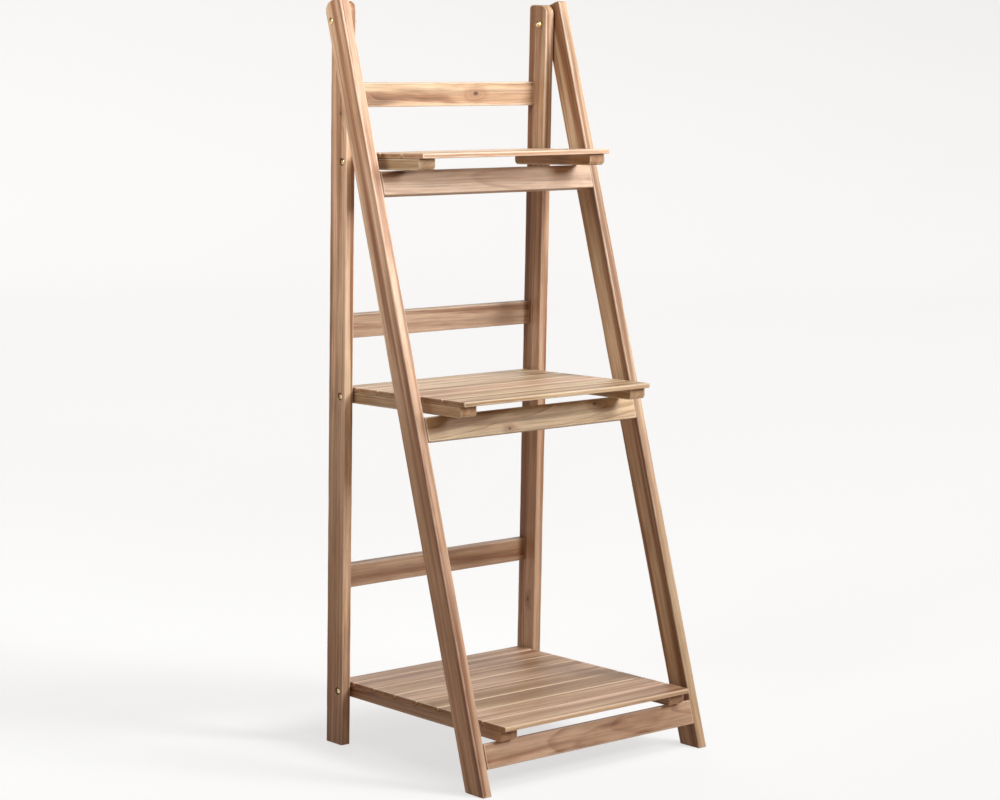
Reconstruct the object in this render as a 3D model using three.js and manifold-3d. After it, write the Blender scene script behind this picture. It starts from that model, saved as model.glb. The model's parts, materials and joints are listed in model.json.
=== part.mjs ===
// Folding three-tier ladder shelf, in millimetres, +Z up, its front towards -Y.
// Origin: on the floor, in the middle of the width and of the depth.
//
// Two frames share one pivot at the top. The front legs stand outside the back legs, so the front
// frame swings back until it lies along the back frame. Each slatted shelf turns on two screws driven
// through the back legs into its battens. It rests on a front rail and folds up between the back legs.
import * as THREE from "three";
import { mergeVertices } from "three/addons/utils/BufferGeometryUtils.js";
import Module from "manifold-3d";

const wasm = await Module();
wasm.setup();

// ---- Driving dimensions ----
const overallWidth = 416; // across the outer faces of the front legs
const pivotHeight = 1056; // main pivot above the floor
const frontSplay = THREE.MathUtils.degToRad(15.4); // front legs from the vertical, feet forwards
const backLean = THREE.MathUtils.degToRad(2.9); // back legs from the vertical, feet backwards

const legDepth = 40;
const legThickness = 15.5;
const legGap = 3; // between a front leg and the back leg beside it, filled by a washer
const topAbovePivot = 28.5; // leg tops, along the leg
const frontLegPivotInset = 10.5; // main pivot from a front leg's rear edge
const backLegPivotInset = 27; // main pivot from a back leg's rear edge
const largeTopRadius = 14; // round top corner on the side that passes the other leg
const smallTopRadius = 6;

const railHeight = 35;
const railThickness = 15.5;
const backRailTops = { top: 970, middle: 637, bottom: 266 }; // height of each top edge

const shelfTops = { top: 870, middle: 532, bottom: 93 }; // height of each slatted surface
const wideSlats = { top: 3, middle: 5, bottom: 7 };
const slatWidth = 49;
const slatGap = 2;
const rearSlatWidth = 34; // the last slat of each shelf is narrower
const slatThickness = 7;
const shelfSideGap = 3.5; // slat ends to the back legs' inner faces

const battenWidth = 28;
const battenHeight = 16;
const battenSideInset = 1; // from the slat ends
const battenFrontInset = 10; // from the front slat's edge
const battenRearInset = 3;
const battenNoseRadius = 6;
const battenTopRadius = 1;

const hingeInset = 28.5; // shelf hinge from a back leg's rear edge
const hingeDrop = 12; // shelf hinge below the slatted surface
const rearOverhang = 19.5; // shelf behind its hinge

const easing = 2; // rounding of the long edges
const fitGap = 0.3; // between pieces that touch
const holeClearance = 0.3; // added to the radius of everything that sits in a hole

const dowel = { radius: 4, inLeg: 10, inRail: 14 };
const bolt = { radius: 3, headRadius: 5, headHeight: 2.4, rimHeight: 0.8 };
const boltSocket = { radius: 1.7, depth: 1.3 };
const nut = { acrossFlats: 10, hexHeight: 3.2, domeRadius: 4.4, domeStart: 0.5, threadLength: 4.5 };
const washer = { radius: 8 };
const screw = { radius: 2, inBatten: 19, tipLength: 4 };
const screwHead = { radius: 4, height: 2, rimHeight: 1, crownRadius: 2.8, crownHeight: 1.8 };
const counterbore = { radius: 5.5, depth: 2.6 };

const roundSides = 16;
const smallRoundSides = 12;
const hexSides = 6;
const arcSegments = 5;
const easingSegments = 2;
const domeSteps = 4;
const overrun = 1; // how far a cutting tool runs past the face that it cuts

// ---- Derived dimensions ----
const frontLegInner = overallWidth / 2 - legThickness;
const backLegOuter = frontLegInner - legGap;
const backLegInner = backLegOuter - legThickness;
const slatLength = 2 * (backLegInner - shelfSideGap);
const slatPitch = slatWidth + slatGap;
const shelfNames = ["top", "middle", "bottom"];
const sides = { left: -1, right: 1 };

// Each leg's cross-section runs from its front edge to its rear edge, measured from the main pivot.
const frontLeg = { front: frontLegPivotInset - legDepth, rear: frontLegPivotInset };
const backLeg = { front: backLegPivotInset - legDepth, rear: backLegPivotInset };
const frontRailCentre = frontLeg.front + railThickness / 2;
const backRailCentre = backLeg.rear - railThickness / 2;

// A frame is turned about the main pivot by `turn`. Its own axes are X, `behind` (across the legs,
// rearwards) and `up` (along the legs, from the pivot).
const frontTurn = -frontSplay;
const backTurn = backLean;

function upAtHeight(turn, behind, height) {
  return (height - pivotHeight - behind * Math.sin(turn)) / Math.cos(turn);
}

function depthFromPivot(turn, behind, up) {
  return behind * Math.cos(turn) - up * Math.sin(turn);
}

function shelfDepth(name) {
  return wideSlats[name] * slatPitch + rearSlatWidth;
}

// Shelf hinge in the back frame's axes.
const hingeBehind = backLeg.rear - hingeInset;
function hingeUp(name) {
  return upAtHeight(backTurn, hingeBehind, shelfTops[name] - hingeDrop);
}

// The pivot's depth puts the origin midway between the back feet and whatever reaches furthest
// forwards, the front feet or the bottom shelf.
const frontFootDepth = depthFromPivot(frontTurn, frontLeg.front, upAtHeight(frontTurn, frontLeg.front, 0));
const backFootDepth = depthFromPivot(backTurn, backLeg.rear, upAtHeight(backTurn, backLeg.rear, 0));
const bottomShelfFront =
  depthFromPivot(backTurn, hingeBehind, hingeUp("bottom")) + rearOverhang - shelfDepth("bottom");
const pivotDepth = -(Math.min(frontFootDepth, bottomShelfFront) + backFootDepth) / 2;

// ---- Materials ----
const frameWood = new THREE.MeshStandardMaterial({ color: 0xa9805d, roughness: 0.7, metalness: 0 });
const slatWood = new THREE.MeshStandardMaterial({ color: 0xb8916f, roughness: 0.7, metalness: 0 });
const dowelWood = new THREE.MeshStandardMaterial({ color: 0xc9a77e, roughness: 0.8, metalness: 0 });
const brass = new THREE.MeshStandardMaterial({ color: 0xb08d46, roughness: 0.35, metalness: 1 });

// ---- Shapes and solids ----
function roundedRectangle(low, high, radii) {
  // radii: low-low, high-low, high-high and low-high corner
  const [a, b, c, d] = radii;
  const shape = new THREE.Shape();
  const quarter = Math.PI / 2;
  shape.absarc(low.x + a, low.y + a, a, 2 * quarter, 3 * quarter);
  shape.absarc(high.x - b, low.y + b, b, 3 * quarter, 4 * quarter);
  shape.absarc(high.x - c, high.y - c, c, 0, quarter);
  shape.absarc(low.x + d, high.y - d, d, quarter, 2 * quarter);
  return shape;
}

function extrude(shape, length, segments = easingSegments) {
  return new THREE.ExtrudeGeometry(shape, {
    depth: length,
    bevelEnabled: false,
    curveSegments: segments,
  });
}

// A shape drawn in Y and Z, extruded along X and centred on x = 0.
function sidewaysPrism(shape, length, segments = arcSegments) {
  const axes = new THREE.Matrix4().makeBasis(
    new THREE.Vector3(0, 1, 0),
    new THREE.Vector3(0, 0, 1),
    new THREE.Vector3(1, 0, 0),
  );
  return extrude(shape, length, segments).applyMatrix4(axes).translate(-length / 2, 0, 0);
}

// A bar along X with its long edges eased, centred on the origin.
function barAlongX(length, depth, height) {
  const half = new THREE.Vector2(depth / 2, height / 2);
  const section = roundedRectangle(half.clone().negate(), half, Array(4).fill(easing));
  return sidewaysPrism(section, length, easingSegments);
}

// A cylinder along X from x = start to x = end.
function cylinderAlongX(radius, start, end, y, z, segments = roundSides) {
  return new THREE.CylinderGeometry(radius, radius, end - start, segments)
    .rotateZ(-Math.PI / 2)
    .translate((start + end) / 2, y, z);
}

// The two ends of a stretch along X, in the order that cylinderAlongX takes.
function lowToHigh(first, second) {
  return [Math.min(first, second), Math.max(first, second)];
}

// A profile of [radius, distance] points turned about X; distance grows along +X.
function latheAlongX(profile, segments) {
  const points = profile.map(([radius, distance]) => new THREE.Vector2(radius, distance));
  return new THREE.LatheGeometry(points, segments).rotateZ(-Math.PI / 2);
}

function toSolid(geometry) {
  const bare = geometry.clone();
  bare.deleteAttribute("normal");
  bare.deleteAttribute("uv");
  const merged = mergeVertices(bare, 1e-4);
  return new wasm.Manifold(
    new wasm.Mesh({
      numProp: 3,
      vertProperties: new Float32Array(merged.attributes.position.array),
      triVerts: new Uint32Array(merged.index.array),
    }),
  );
}

function toGeometry(solid) {
  const mesh = solid.getMesh();
  const geometry = new THREE.BufferGeometry();
  geometry.setAttribute("position", new THREE.BufferAttribute(mesh.vertProperties, 3));
  geometry.setIndex(new THREE.BufferAttribute(mesh.triVerts, 1));
  const flat = geometry.toNonIndexed();
  flat.computeVertexNormals();
  return flat;
}

function cut(geometry, tools) {
  let solid = toSolid(geometry);
  for (const tool of tools) solid = solid.subtract(toSolid(tool));
  return toGeometry(solid);
}

function intersect(first, second) {
  return toGeometry(toSolid(first).intersect(toSolid(second)));
}

function addMesh(group, name, geometry, material) {
  const mesh = new THREE.Mesh(geometry, material);
  mesh.name = name;
  group.add(mesh);
  return mesh;
}

// ---- Legs ----
// A leg in its frame's axes, centred on x = 0: an eased bar with shaped ends.
function legBlank(turn, edge, topRadii) {
  const bottomFront = upAtHeight(turn, edge.front, 0);
  const bottomRear = upAtHeight(turn, edge.rear, 0);
  const lowest = Math.min(bottomFront, bottomRear);
  const section = roundedRectangle(
    new THREE.Vector2(-legThickness / 2, edge.front),
    new THREE.Vector2(legThickness / 2, edge.rear),
    Array(4).fill(easing),
  );
  const bar = extrude(section, topAbovePivot - lowest).translate(0, 0, lowest);
  const side = new THREE.Shape();
  side.moveTo(edge.front, bottomFront);
  side.lineTo(edge.rear, bottomRear);
  const { front, rear } = topRadii;
  side.absarc(edge.rear - rear, topAbovePivot - rear, rear, 0, Math.PI / 2);
  side.absarc(edge.front + front, topAbovePivot - front, front, Math.PI / 2, Math.PI);
  side.closePath();
  return intersect(bar, sidewaysPrism(side, legThickness + 2 * overrun));
}

function boltHole() {
  return cylinderAlongX(bolt.radius + holeClearance, -legThickness, legThickness, 0, 0);
}

// A blind hole in the leg's inner face. The inner face looks towards -side.
function dowelHoleInLeg(side, behind, up) {
  const depth = dowel.inLeg + holeClearance;
  const inner = (-side * legThickness) / 2;
  const ends = lowToHigh(inner - side * overrun, inner + side * depth);
  return cylinderAlongX(dowel.radius + holeClearance, ...ends, behind, up);
}

// A clearance hole right through, and a counterbore in the outer face for the screw's head.
function hingeHoles(side, up) {
  const outer = (side * legThickness) / 2;
  const ends = lowToHigh(outer + side * overrun, outer - side * counterbore.depth);
  return [
    cylinderAlongX(screw.radius + holeClearance, -legThickness, legThickness, hingeBehind, up),
    cylinderAlongX(counterbore.radius, ...ends, hingeBehind, up),
  ];
}

// ---- Rails ----
function frontRailUp(name) {
  const topEdge = shelfTops[name] - slatThickness - battenHeight - 2 * fitGap;
  return upAtHeight(frontTurn, frontLeg.front, topEdge) - railHeight / 2;
}

function backRailUp(name) {
  const frontFace = backRailCentre - railThickness / 2;
  return upAtHeight(backTurn, frontFace, backRailTops[name]) - railHeight / 2;
}

// A rail between two inner faces, with a dowel hole in each end.
function addRail(group, name, innerFace, behind, up) {
  const half = innerFace - fitGap;
  const holeDepth = dowel.inRail + holeClearance;
  const holes = Object.values(sides).map((side) => {
    const ends = lowToHigh(side * (half + overrun), side * (half - holeDepth));
    return cylinderAlongX(dowel.radius + holeClearance, ...ends, 0, 0);
  });
  const mesh = addMesh(
    group,
    name,
    cut(barAlongX(2 * half, railThickness, railHeight), holes),
    frameWood,
  );
  mesh.position.set(0, behind, up);
}

function addDowels(group, railName, innerFace, behind, up) {
  for (const [sideName, side] of Object.entries(sides)) {
    const ends = lowToHigh(side * (innerFace - dowel.inRail), side * (innerFace + dowel.inLeg));
    const pin = cylinderAlongX(dowel.radius, ...ends, behind, up, smallRoundSides);
    addMesh(group, `${railName}_dowel_${sideName}`, pin, dowelWood);
  }
}

// ---- Front frame ----
function buildFrontFrame() {
  const group = new THREE.Group();
  for (const [sideName, side] of Object.entries(sides)) {
    const holes = shelfNames.map((name) => dowelHoleInLeg(side, frontRailCentre, frontRailUp(name)));
    const blank = legBlank(frontTurn, frontLeg, { front: smallTopRadius, rear: largeTopRadius });
    const leg = cut(blank, [boltHole(), ...holes]);
    const mesh = addMesh(group, `front_leg_${sideName}`, leg, frameWood);
    mesh.position.x = side * (overallWidth - legThickness) / 2;
  }
  for (const name of shelfNames) {
    const rail = `front_rail_${name}`;
    addRail(group, rail, frontLegInner, frontRailCentre, frontRailUp(name));
    addDowels(group, rail, frontLegInner, frontRailCentre, frontRailUp(name));
  }
  return group;
}

// ---- Back frame ----
function buildBackFrame() {
  const group = new THREE.Group();
  for (const [sideName, side] of Object.entries(sides)) {
    const holes = shelfNames.flatMap((name) => [
      dowelHoleInLeg(side, backRailCentre, backRailUp(name)),
      ...hingeHoles(side, hingeUp(name)),
    ]);
    const blank = legBlank(backTurn, backLeg, { front: largeTopRadius, rear: smallTopRadius });
    const leg = cut(blank, [boltHole(), ...holes]);
    const mesh = addMesh(group, `back_leg_${sideName}`, leg, frameWood);
    mesh.position.x = side * (backLegOuter + backLegInner) / 2;
  }
  for (const name of shelfNames) {
    const rail = `back_rail_${name}`;
    addRail(group, rail, backLegInner, backRailCentre, backRailUp(name));
    addDowels(group, rail, backLegInner, backRailCentre, backRailUp(name));
  }
  return group;
}

// ---- Hardware ----
// Each piece is made for the right-hand side, on the X axis of its group, and turned for the left.
function placeOnSide(mesh, side, x) {
  mesh.position.x = side * x;
  if (side < 0) mesh.rotation.z = Math.PI;
}

// [radius, distance] points of a dome from its rim towards its tip, without the tip itself.
function domeProfile(radius, rim, tip) {
  return Array.from({ length: domeSteps }, (_, i) => {
    const angle = (i / domeSteps) * (Math.PI / 2);
    return [radius * Math.cos(angle), rim + (tip - rim) * Math.sin(angle)];
  });
}

// Round head outside the front leg, shank reaching inwards into the cap nut. x = 0 is the seat.
function boltGeometry(shankLength) {
  const profile = [
    [0, -shankLength],
    [bolt.radius, -shankLength],
    [bolt.radius, 0],
    [bolt.headRadius, 0],
    ...domeProfile(bolt.headRadius, bolt.rimHeight, bolt.headHeight),
    [0, bolt.headHeight],
  ];
  const socketEnds = [bolt.headHeight - boltSocket.depth, bolt.headHeight + overrun];
  const socket = cylinderAlongX(boltSocket.radius, ...socketEnds, 0, 0, hexSides);
  return cut(latheAlongX(profile, roundSides), [socket]);
}

// Hexagonal base with a dome, closed at the inner end. It grows from x = 0 towards -X.
function capNutGeometry() {
  const tip = -nut.hexHeight - nut.domeRadius;
  const profile = [
    [0, tip],
    ...domeProfile(nut.domeRadius, -nut.hexHeight, tip).reverse(),
    [nut.domeRadius, -nut.domeStart],
    [0, -nut.domeStart],
  ];
  const cap = latheAlongX(profile, roundSides);
  const cornerRadius = nut.acrossFlats / 2 / Math.cos(Math.PI / hexSides);
  const hex = cylinderAlongX(cornerRadius, -nut.hexHeight, 0, 0, 0, hexSides);
  const body = toSolid(hex).add(toSolid(cap));
  const holeEnds = [-nut.threadLength - holeClearance, overrun];
  const hole = cylinderAlongX(bolt.radius + holeClearance, ...holeEnds, 0, 0);
  return toGeometry(body.subtract(toSolid(hole)));
}

// Pan head in the leg's counterbore, shank through the leg and into the batten. x = 0 is the seat.
function screwGeometry(shankLength) {
  return latheAlongX(
    [
      [0, -shankLength],
      [screw.radius, -shankLength + screw.tipLength],
      [screw.radius, 0],
      [screwHead.radius, 0],
      [screwHead.radius, screwHead.rimHeight],
      [screwHead.crownRadius, screwHead.crownHeight],
      [0, screwHead.height],
    ],
    smallRoundSides,
  );
}

function washerGeometry() {
  const inner = bolt.radius + holeClearance;
  const half = legGap / 2 - fitGap;
  const ring = [
    [inner, -half],
    [washer.radius, -half],
    [washer.radius, half],
    [inner, half],
    [inner, -half],
  ];
  return latheAlongX(ring, roundSides);
}

function addPivotHardware(group) {
  const boltSeat = overallWidth / 2 + fitGap;
  const nutSeat = backLegInner - fitGap;
  const shankLength = boltSeat - nutSeat + nut.threadLength;
  for (const [sideName, side] of Object.entries(sides)) {
    const boltMesh = addMesh(group, `pivot_bolt_${sideName}`, boltGeometry(shankLength), brass);
    placeOnSide(boltMesh, side, boltSeat);
    const nutMesh = addMesh(group, `pivot_cap_nut_${sideName}`, capNutGeometry(), brass);
    placeOnSide(nutMesh, side, nutSeat);
    const washerMesh = addMesh(group, `pivot_washer_${sideName}`, washerGeometry(), brass);
    placeOnSide(washerMesh, side, backLegOuter + legGap / 2);
  }
}

// ---- Shelves ----
// Built about its hinge: y grows rearwards, and the slatted surface is hingeDrop above the hinge.
function battenGeometry(name, side) {
  const front = rearOverhang - shelfDepth(name) + battenFrontInset;
  const rear = rearOverhang - battenRearInset;
  const top = hingeDrop - slatThickness - fitGap;
  const low = new THREE.Vector2(front, top - battenHeight);
  const high = new THREE.Vector2(rear, top);
  const radii = [battenNoseRadius, battenNoseRadius, battenTopRadius, battenTopRadius];
  const profile = roundedRectangle(low, high, radii);
  const body = sidewaysPrism(profile, battenWidth);
  const outer = battenWidth / 2;
  const ends = lowToHigh(side * (outer + overrun), side * (outer - screw.inBatten - fitGap));
  return cut(body, [cylinderAlongX(screw.radius + holeClearance, ...ends, 0, 0, smallRoundSides)]);
}

function buildShelf(name) {
  const group = new THREE.Group();
  const front = rearOverhang - shelfDepth(name);
  const slatCentre = hingeDrop - slatThickness / 2;
  const battenOuter = slatLength / 2 - battenSideInset;
  const screwSeat = backLegOuter - counterbore.depth + fitGap;
  const screwLength = screwSeat - battenOuter + screw.inBatten;
  for (let i = 0; i <= wideSlats[name]; i += 1) {
    const width = i < wideSlats[name] ? slatWidth : rearSlatWidth;
    const slat = barAlongX(slatLength, width, slatThickness);
    const mesh = addMesh(group, `shelf_${name}_slat_${i + 1}`, slat, slatWood);
    mesh.position.set(0, front + i * slatPitch + width / 2, slatCentre);
  }
  for (const [sideName, side] of Object.entries(sides)) {
    const batten = battenGeometry(name, side);
    const mesh = addMesh(group, `shelf_${name}_batten_${sideName}`, batten, frameWood);
    mesh.position.x = side * (battenOuter - battenWidth / 2);
    const screwName = `shelf_${name}_hinge_screw_${sideName}`;
    const screwMesh = addMesh(group, screwName, screwGeometry(screwLength), brass);
    placeOnSide(screwMesh, side, screwSeat);
  }
  return group;
}

// ---- Assembly ----
const ladderShelf = new THREE.Group();

const frontFrame = buildFrontFrame();
frontFrame.position.set(0, pivotDepth, pivotHeight);
frontFrame.rotation.x = frontTurn;
ladderShelf.add(frontFrame);

const backFrame = buildBackFrame();
addPivotHardware(backFrame);
backFrame.position.set(0, pivotDepth, pivotHeight);
backFrame.rotation.x = backTurn;
ladderShelf.add(backFrame);

for (const name of shelfNames) {
  const shelf = buildShelf(name);
  const hingeDepth = pivotDepth + depthFromPivot(backTurn, hingeBehind, hingeUp(name));
  shelf.position.set(0, hingeDepth, shelfTops[name] - hingeDrop);
  ladderShelf.add(shelf);
}

export default ladderShelf;
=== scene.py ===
"""The looks of a folding three-tier ladder shelf: sawn and eased boards of streaky light-brown wood,
and brass-plated pivot bolts, cap nuts, washers and screws.

Lengths are in metres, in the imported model's frame."""
import json
import math
import random

import bmesh
import bpy
import numpy as np
from mathutils import Matrix, Vector, noise

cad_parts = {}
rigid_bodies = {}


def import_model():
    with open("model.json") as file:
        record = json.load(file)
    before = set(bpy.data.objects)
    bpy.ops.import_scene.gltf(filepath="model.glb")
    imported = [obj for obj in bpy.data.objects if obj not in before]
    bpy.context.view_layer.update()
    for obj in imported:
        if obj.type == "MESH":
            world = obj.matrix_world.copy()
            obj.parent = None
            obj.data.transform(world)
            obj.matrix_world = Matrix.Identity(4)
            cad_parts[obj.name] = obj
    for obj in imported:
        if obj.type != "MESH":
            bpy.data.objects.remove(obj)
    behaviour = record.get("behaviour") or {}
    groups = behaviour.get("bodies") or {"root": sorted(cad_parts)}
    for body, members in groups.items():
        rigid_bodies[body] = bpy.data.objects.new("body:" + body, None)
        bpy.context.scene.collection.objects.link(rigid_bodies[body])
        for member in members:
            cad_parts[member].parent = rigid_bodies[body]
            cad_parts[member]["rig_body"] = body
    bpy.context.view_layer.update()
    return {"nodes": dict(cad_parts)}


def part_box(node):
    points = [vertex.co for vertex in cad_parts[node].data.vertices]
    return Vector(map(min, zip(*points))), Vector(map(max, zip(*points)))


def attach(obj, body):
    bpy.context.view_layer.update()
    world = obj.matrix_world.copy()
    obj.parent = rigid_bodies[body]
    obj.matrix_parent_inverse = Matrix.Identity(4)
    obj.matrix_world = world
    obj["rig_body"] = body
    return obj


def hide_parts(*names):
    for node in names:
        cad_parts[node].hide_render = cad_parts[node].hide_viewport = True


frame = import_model()

MM = 0.001
SHELVES = ("top", "middle", "bottom")
SIDES = {"left": -1, "right": 1}
X_AXIS = Vector((1, 0, 0))
Y_AXIS = Vector((0, 1, 0))
Z_AXIS = Vector((0, 0, 1))

# ---- Sizes ----
# Rounding of the boards' edges: along the grain, and at the sawn ends.
LEG_EDGE = 2.3 * MM
RAIL_EDGE = 1.9 * MM
SLAT_EDGE = 1.5 * MM
BATTEN_EDGE = 1.6 * MM
SAWN_EDGE = 0.6 * MM
RAIL_END_EDGE = 0.2 * MM
# Sanding by hand leaves that rounding uneven: by what share, and how often per metre.
EDGE_UNEVENNESS = 0.28
EDGE_WAVES = 28
# Corners of the boards' outlines.
LARGE_TOP_RADIUS = 14 * MM
SMALL_TOP_RADIUS = 6 * MM
FOOT_RADIUS = 1 * MM
RAIL_CORNER = 0.25 * MM
SLAT_CORNER = 0.8 * MM
BATTEN_NOSE_RADIUS = 6 * MM
BATTEN_TOP_RADIUS = 1 * MM
# How finely the boards are drawn.
OUTLINE_STEP = 5 * MM
ARC_STEP = 1.2 * MM
EDGE_RINGS = 3

PIVOT_HOLE_RADIUS = 3.3 * MM
PIVOT_HOLE_LENGTH = 60 * MM
HINGE_HOLE_RADIUS = 2.3 * MM
LEG_HINGE_HOLE_DEPTH = 20 * MM
BATTEN_HINGE_HOLE_DEPTH = 19.3 * MM
COUNTERBORE_RADIUS = 5.5 * MM
COUNTERBORE_DEPTH = 2.6 * MM
COUNTERBORE_RIM = 0.5 * MM
HOLE_CLEARANCE = 0.3 * MM
OVERRUN = 1 * MM  # how far outside a face the tool that cuts it starts

# Heads are eased below their rim, by so much inwards and upwards.
HEAD_EASING = (0.2 * MM, 0.25 * MM)
BOLT_SHANK_RADIUS = 3 * MM
BOLT_END_CHAMFER = (0.5 * MM, 0.6 * MM)
BOLT_HEAD_RADIUS = 5 * MM
BOLT_HEAD_HEIGHT = 2.4 * MM
BOLT_RIM_HEIGHT = 0.7 * MM
BOLT_DOME_STEP = 0.12 * MM  # from the rim in to the dome
BOLT_SOCKET_RADIUS = 1.75 * MM
BOLT_SOCKET_DEPTH = 1.4 * MM
NUT_HALF_WIDTH = 5 * MM
NUT_HEX_HEIGHT = 3.2 * MM
NUT_BASE_TURNING = 0.45 * MM  # height of the part where the corners are turned down
NUT_TOP_TURNING = 0.6 * MM
NUT_CAP_RADIUS = 4.4 * MM
NUT_CAP_COLLAR = 0.5 * MM
NUT_HOLE_DEPTH = 4.8 * MM
WASHER_EASING = 0.35 * MM
SCREW_SHANK_RADIUS = 2 * MM
SCREW_HEAD_RADIUS = 4 * MM
SCREW_HEAD_HEIGHT = 2 * MM
SCREW_RIM_HEIGHT = 0.6 * MM
SCREW_DOME_STEP = 0.1 * MM
SCREW_TIP = 4 * MM
SCREW_SLOT_LENGTH = 4.2 * MM
SCREW_SLOT_WIDTH = 0.95 * MM
SCREW_SLOT_DEPTH = 1.1 * MM
SLOT_BAR_HEIGHT = 2.6 * MM  # of the tool that cuts it, which stands out above the head


# ---- Node trees ----
class Graph:
    """Adds nodes to a material's tree. Inputs are given as sockets or as plain values."""

    def __init__(self, material):
        self.tree = material.node_tree
        self.tree.nodes.clear()

    def node(self, kind, inputs=None, **settings):
        made = self.tree.nodes.new(kind)
        for key, value in settings.items():
            setattr(made, key, value)
        for key, value in (inputs or {}).items():
            self.feed(made.inputs[key], value)
        return made

    def feed(self, socket, value):
        if isinstance(value, bpy.types.NodeSocket):
            self.tree.links.new(value, socket)
        else:
            socket.default_value = value

    def math(self, operation, *values):
        made = self.node("ShaderNodeMath", operation=operation)
        for socket, value in zip(made.inputs, values):
            self.feed(socket, value)
        return made.outputs[0]

    def inverse(self, mask):
        return self.math("SUBTRACT", 1.0, mask)

    def vector(self, operation, *values):
        made = self.node("ShaderNodeVectorMath", operation=operation)
        for socket, value in zip(made.inputs, values):
            self.feed(socket, value)
        return made.outputs["Value"] if operation == "LENGTH" else made.outputs[0]

    def split(self, vector):
        return self.node("ShaderNodeSeparateXYZ", {0: vector}).outputs

    def join(self, x, y, z):
        return self.node("ShaderNodeCombineXYZ", {0: x, 1: y, 2: z}).outputs[0]

    def attribute(self, name):
        return self.node("ShaderNodeAttribute", attribute_name=name).outputs["Vector"]

    def noise(self, vector, detail=2.0, roughness=0.5, output="Fac"):
        made = self.node(
            "ShaderNodeTexNoise",
            {"Vector": vector, "Scale": 1.0, "Detail": detail, "Roughness": roughness},
        )
        return made.outputs[output]

    def ramp(self, factor, *stops):
        """A colour ramp through (position, value) stops; a value is a grey number or a colour."""
        made = self.node("ShaderNodeValToRGB", {"Fac": factor})
        elements = made.color_ramp.elements
        while len(elements) < len(stops):
            elements.new(1.0)
        for element, (position, value) in zip(elements, stops):
            element.position = position
            element.color = (*value, 1) if hasattr(value, "__len__") else (value, value, value, 1)
        return made.outputs["Color"]

    def mix(self, factor, a, b, blend="MIX"):
        made = self.node("ShaderNodeMix", data_type="RGBA", blend_type=blend)
        self.feed(made.inputs[0], factor)
        for socket, value in zip(made.inputs[6:8], (a, b)):
            self.feed(socket, (*value, 1) if isinstance(value, tuple) else value)
        return made.outputs[2]

    def tint(self, colour, mask, share, target):
        """The colour, moved by a share of the way to the target where the mask is 1."""
        return self.mix(self.math("MULTIPLY", mask, share), colour, target)

    def smooth(self, value, low, high):
        """0 below low, 1 above high, smooth between."""
        made = self.node(
            "ShaderNodeMapRange",
            {"Value": value, "From Min": low, "From Max": high},
            interpolation_type="SMOOTHSTEP",
        )
        return made.outputs[0]


def new_material(name):
    material = bpy.data.materials.new(name)
    material.use_nodes = True
    return material, Graph(material)


def finish_material(g, colour, roughness, height, bump_strength, bump_depth, **shader):
    """A Principled shader with a bump; shader holds plain values for its other sockets."""
    bump = {"Height": height, "Strength": bump_strength, "Distance": bump_depth}
    normal = g.node("ShaderNodeBump", bump).outputs[0]
    inputs = {"Base Color": colour, "Roughness": roughness, "Normal": normal}
    inputs.update({key.replace("_", " "): value for key, value in shader.items()})
    principled = g.node("ShaderNodeBsdfPrincipled", inputs)
    g.node("ShaderNodeOutputMaterial", {"Surface": principled.outputs[0]})


# ---- Wood ----
# Linear colours, from the palest early wood to the darkest streaks.
PALE = (0.670, 0.478, 0.335)
TAN = (0.46, 0.290, 0.172)
RUSSET = (0.280, 0.126, 0.057)
DARK = (0.105, 0.039, 0.015)
KNOT = (0.050, 0.022, 0.012)
# The eased edges' pale colour: wear, and a painted highlight where the rounded edges catch the light.
WORN_AND_HIGHLIT = (0.76, 0.595, 0.465)
# Factors that make a board's colour pinker or yellower.
PINKISH = (1.03, 0.965, 0.93)
YELLOWISH = (0.98, 1.02, 0.90)

# How often each pattern repeats per metre: along the grain, across it and through the board.
SLOW_BENDS = (1.9, 10, 10)
FAST_WAVERS = (11, 60, 60)
KNOT_RIMS = (140, 260, 260)
FIBRES = (26, 950, 950)
THREADS = (9, 330, 330)
PORES = (70, 1900, 1900)
BANDS = (1.0, 58, 58)
FLAMES = (4.2, 24, 24)
VEINS = (1.7, 170, 170)
PATCHES = (3.5, 9, 9)
# How unevenly the eased edges' wear and painted highlight run.
EDGE_WEAR_AND_HIGHLIGHT = (22, 160, 160)
HUE_CLOUDS = (2.2, 14, 14)

# How dark the wood is through one year's ring, as (share of the ring, darkness).
LATE_WOOD = ((0, 0.15), (0.06, 0.03), (0.42, 0.10), (0.74, 0.42), (0.90, 1), (0.96, 1), (1, 0.3))
# The room for one knot, along and across the grain.
KNOT_CELL = (0.21, 0.075)
# How far apart in the patterns two boards with different seeds lie.
SEED_SHIFT = (7.3, 5.1, 3.7)

# Seeds of the boards with a look of their own; the others draw three numbers from 0 to 1. The first
# says where in the log the board comes from, the second how pale it is and the third how yellow.
# A second number below 0 makes a board darker than any of the others: painted shade, on the back
# rails and the top front rail that the shelves above shade.
BOARD_SEEDS = {
    "back_leg_left": (0.35, 0.80, 0.25),
    # Painted shade: the shelves above shade these back rails.
    "back_rail_bottom": (0.50, -0.70, 0.05),
    "back_rail_middle": (0.80, -1.10, 0.20),
    "front_rail_bottom": (0.37, 0.15, 0.05),
    "front_rail_middle": (0.62, 0.55, 0.95),
    # Painted shade from the top shelf's overhang.
    "front_rail_top": (0.18, -0.40, 0.20),
}


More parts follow.
